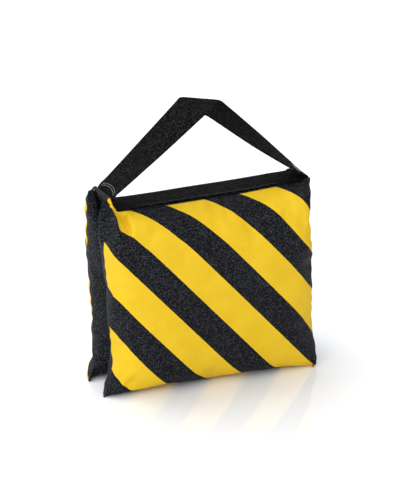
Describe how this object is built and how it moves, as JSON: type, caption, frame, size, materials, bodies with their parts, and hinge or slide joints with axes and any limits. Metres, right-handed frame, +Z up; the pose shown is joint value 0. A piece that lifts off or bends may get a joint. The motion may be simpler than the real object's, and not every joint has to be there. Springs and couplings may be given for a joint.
{
  "type": "saddle sandbag",
  "caption": "Saddle sandbag for light stands: two sewn fabric pouches of sand hung from a flat webbing ridge, with a webbing loop handle and a zip in each inner wall.",
  "frame": {"origin": "bottom centre of the bag's bounding box, on the floor midway between the two pouches", "axes": "+Z up to the top of the handle, +X along the webbing ridge to the bag's right, +Y from the front pouch to the rear pouch"},
  "size_m": [0.266, 0.1286, 0.324],
  "materials": {
    "striped_fabric": "matte",
    "black_fabric": "matte",
    "binding_tape": "matte",
    "liner_fabric": "satin",
    "hook_and_loop": "matte",
    "sand": "matte",
    "zip_tape": "matte",
    "zip_coil": "satin",
    "zip_metal": "gloss",
    "webbing": "matte",
    "thread": "satin"
  },
  "bodies": {
    "bridge": {"ridge_webbing": "webbing", "bridge_lining": "black_fabric", "tack_thread_left": "thread", "tack_thread_right": "thread"},
    "handle": {"handle_webbing": "webbing"},
    "front_pouch": {"front_outer_panel": "striped_fabric", "front_inner_strip": "black_fabric", "front_inner_panel": "black_fabric", "front_seam_binding": "binding_tape", "front_liner_front": "liner_fabric", "front_liner_back": "liner_fabric", "front_liner_hook_strip": "hook_and_loop", "front_liner_loop_strip": "hook_and_loop", "front_sand_fill": "sand", "front_zip_tape_upper": "zip_tape", "front_zip_tape_lower": "zip_tape", "front_zip_coil_upper": "zip_coil", "front_zip_coil_lower": "zip_coil", "front_zip_stops": "zip_metal"},
    "front_zip_slider": {"front_zip_slider": "zip_metal"},
    "front_zip_pull": {"front_zip_pull": "zip_metal"},
    "rear_pouch": {"rear_outer_panel": "striped_fabric", "rear_inner_strip": "black_fabric", "rear_inner_panel": "black_fabric", "rear_seam_binding": "binding_tape", "rear_liner_front": "liner_fabric", "rear_liner_back": "liner_fabric", "rear_liner_hook_strip": "hook_and_loop", "rear_liner_loop_strip": "hook_and_loop", "rear_sand_fill": "sand", "rear_zip_tape_upper": "zip_tape", "rear_zip_tape_lower": "zip_tape", "rear_zip_coil_upper": "zip_coil", "rear_zip_coil_lower": "zip_coil", "rear_zip_stops": "zip_metal"},
    "rear_zip_slider": {"rear_zip_slider": "zip_metal"},
    "rear_zip_pull": {"rear_zip_pull": "zip_metal"}
  },
  "joints": [
    {"name": "front_pouch_swing", "type": "hinge", "parent": "bridge", "child": "front_pouch", "pos_m": [0, -0.025, 0.2136], "axis": [-1, 0, 0], "range_deg": [0, 90]},
    {"name": "rear_pouch_swing", "type": "hinge", "parent": "bridge", "child": "rear_pouch", "pos_m": [0, 0.025, 0.2136], "axis": [1, 0, 0], "range_deg": [0, 90]},
    {"name": "handle_swing", "type": "hinge", "parent": "bridge", "child": "handle", "pos_m": [0, 0, 0.237], "axis": [1, 0, 0], "range_deg": [-40, 40]},
    {"name": "front_zip_slide", "type": "slide", "parent": "front_pouch", "child": "front_zip_slider", "axis": [-1, 0, 0], "range_m": [0, 0.19]},
    {"name": "front_pull_swing", "type": "hinge", "parent": "front_zip_slider", "child": "front_zip_pull", "pos_m": [0.095, -0.01219, 0.197], "axis": [0, 0.4384, -0.8988], "range_deg": [0, 150]},
    {"name": "rear_zip_slide", "type": "slide", "parent": "rear_pouch", "child": "rear_zip_slider", "axis": [-1, 0, 0], "range_m": [0, 0.19]},
    {"name": "rear_pull_swing", "type": "hinge", "parent": "rear_zip_slider", "child": "rear_zip_pull", "pos_m": [0.095, 0.01219, 0.197], "axis": [0, -0.4384, -0.8988], "range_deg": [-150, 0]}
  ]
}
